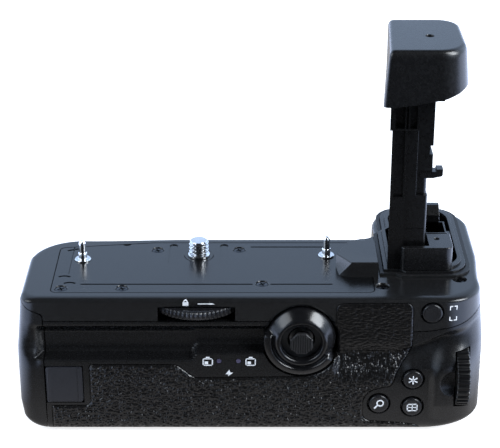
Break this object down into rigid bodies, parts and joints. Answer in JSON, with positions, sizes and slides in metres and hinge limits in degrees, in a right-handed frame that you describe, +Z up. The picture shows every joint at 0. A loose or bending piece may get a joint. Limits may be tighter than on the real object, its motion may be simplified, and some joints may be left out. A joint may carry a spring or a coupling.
{
  "type": "camera battery grip",
  "caption": "Camera battery grip with a battery tower, attachment screw and lock wheel, joystick, buttons, dials and a slide-out battery magazine.",
  "frame": {"origin": "centre of the tripod socket's mouth on the bottom face, on the attachment screw's axis", "axes": "+X to the right seen from the rear of the camera, +Y to the front of the camera, +Z up towards the camera"},
  "size_m": [0.1485, 0.0832, 0.1216],
  "materials": {
    "casing_plastic": "fine satin",
    "plate_metal": "satin",
    "grip_rubber": "leather grain",
    "bright_metal": "bright",
    "steel": "turned",
    "dark_steel": "black zinc",
    "control_plastic": "semi gloss",
    "inner_plastic": "moulded",
    "tower_plastic": "moulded",
    "circuit_board": "solder mask",
    "contact_metal": "plated",
    "light_pipe": "clear tint"
  },
  "bodies": {
    "grip_body": {"top_cover": "casing_plastic", "rear_cover": "casing_plastic", "front_cover": "casing_plastic", "wedge_block": "casing_plastic", "tower_base": "casing_plastic", "mount_plate": "plate_metal", "base_plate": "plate_metal", "rear_rubber": "grip_rubber", "front_rubber": "grip_rubber", "tower_seal": "grip_rubber", "locating_pins": "bright_metal", "screw_bush": "steel", "wheel_axle": "steel", "gear_carrier": "steel", "tripod_socket": "steel", "rear_dial_axle": "steel", "front_dial_axle": "steel", "plate_screws": "dark_steel", "base_screws": "dark_steel", "rear_dial_bracket": "dark_steel", "front_dial_bracket": "dark_steel", "joystick_collar": "control_plastic", "shutter_bezel": "control_plastic", "magazine_bay": "inner_plastic", "button_switches": "inner_plastic", "shutter_switch": "inner_plastic", "tower_column": "tower_plastic", "tower_head": "tower_plastic", "foot_block": "tower_plastic", "door_hook": "tower_plastic", "door_socket": "tower_plastic", "bay_board": "circuit_board", "main_board": "circuit_board", "button_board": "circuit_board", "af_board": "circuit_board", "bay_contacts": "contact_metal", "tower_terminals": "contact_metal", "charge_lights": "light_pipe"},
    "lock_wheel": {"lock_wheel": "control_plastic"},
    "camera_screw": {"camera_screw": "bright_metal", "screw_gear": "contact_metal"},
    "joystick_housing": {"joystick_housing": "inner_plastic"},
    "joystick_gimbal": {"joystick_gimbal": "steel"},
    "joystick_stick": {"joystick_stick": "control_plastic"},
    "af_button": {"af_button": "control_plastic"},
    "star_button": {"star_button": "control_plastic"},
    "zoom_button": {"zoom_button": "control_plastic"},
    "grid_button": {"grid_button": "control_plastic"},
    "shutter_button": {"shutter_button": "control_plastic"},
    "function_button": {"function_button": "control_plastic"},
    "rear_dial": {"rear_dial": "control_plastic"},
    "front_dial": {"front_dial": "control_plastic"},
    "cord_cover": {"cord_cover": "casing_plastic"},
    "contact_cover": {"contact_cover": "casing_plastic"},
    "magazine": {"magazine_tray": "inner_plastic", "tray_contacts": "contact_metal", "magazine_end_cap": "casing_plastic"},
    "release": {"release_knob": "control_plastic", "release_spindle": "steel"}
  },
  "joints": [
    {"name": "lock_wheel_turn", "type": "hinge", "parent": "grip_body", "child": "lock_wheel", "pos_m": [0, -0.0192, 0.0424], "axis": [0, 0, 1], "continuous": true},
    {"name": "camera_screw_turn", "type": "hinge", "parent": "grip_body", "child": "camera_screw", "pos_m": [0, 0, 0.047], "axis": [0, 0, 1], "continuous": true},
    {"name": "joystick_housing_press", "type": "slide", "parent": "grip_body", "child": "joystick_housing", "axis": [0, 1, 0], "range_m": [0, 0.0005], "stiffness_N_per_m": 400},
    {"name": "joystick_sideways", "type": "hinge", "parent": "joystick_housing", "child": "joystick_gimbal", "pos_m": [0.0326, -0.0296, 0.0332], "axis": [0, 0, 1], "range_deg": [-8, 8], "stiffness_Nm_per_rad": 0.02},
    {"name": "joystick_upward", "type": "hinge", "parent": "joystick_gimbal", "child": "joystick_stick", "pos_m": [0.0326, -0.0296, 0.0332], "axis": [1, 0, 0], "range_deg": [-8, 8], "stiffness_Nm_per_rad": 0.02},
    {"name": "af_button_press", "type": "slide", "parent": "grip_body", "child": "af_button", "axis": [0, 1, 0], "range_m": [0, 0.0006], "stiffness_N_per_m": 400},
    {"name": "star_button_press", "type": "slide", "parent": "grip_body", "child": "star_button", "axis": [0, 1, 0], "range_m": [0, 0.0006], "stiffness_N_per_m": 400},
    {"name": "zoom_button_press", "type": "slide", "parent": "grip_body", "child": "zoom_button", "axis": [0, 1, 0], "range_m": [0, 0.0006], "stiffness_N_per_m": 400},
    {"name": "grid_button_press", "type": "slide", "parent": "grip_body", "child": "grid_button", "axis": [0, 1, 0], "range_m": [0, 0.0006], "stiffness_N_per_m": 400},
    {"name": "shutter_button_press", "type": "slide", "parent": "grip_body", "child": "shutter_button", "axis": [-0.766, -0.6428, 0], "range_m": [0, 0.001], "stiffness_N_per_m": 400},
    {"name": "function_button_press", "type": "slide", "parent": "grip_body", "child": "function_button", "axis": [-1, 0, 0], "range_m": [0, 0.0006], "stiffness_N_per_m": 400},
    {"name": "rear_dial_turn", "type": "hinge", "parent": "grip_body", "child": "rear_dial", "pos_m": [0.084, -0.0282, 0.0192], "axis": [1, 0, 0], "continuous": true},
    {"name": "front_dial_turn", "type": "hinge", "parent": "grip_body", "child": "front_dial", "pos_m": [0.0846, 0.0105, 0.0179], "axis": [0, 1, 0], "continuous": true},
    {"name": "cord_cover_hinge", "type": "hinge", "parent": "grip_body", "child": "cord_cover", "pos_m": [-0.0467, -0.0324, 0.0177], "axis": [0, 0, -1], "range_deg": [0, 100]},
    {"name": "contact_cover_lift", "type": "slide", "parent": "grip_body", "child": "contact_cover", "axis": [0, 0, 1], "range_m": [0, 0.03]},
    {"name": "magazine_slide", "type": "slide", "parent": "grip_body", "child": "magazine", "axis": [-1, 0, 0], "range_m": [0, 0.12]},
    {"name": "release_turn", "type": "hinge", "parent": "magazine", "child": "release", "pos_m": [-0.054, -0.00325, 0.0199], "axis": [1, 0, 0], "range_deg": [0, 90]}
  ],
  "couplings": [
    {"joint": "camera_screw_turn", "follows": "lock_wheel_turn", "ratio": -1.0645}
  ]
}
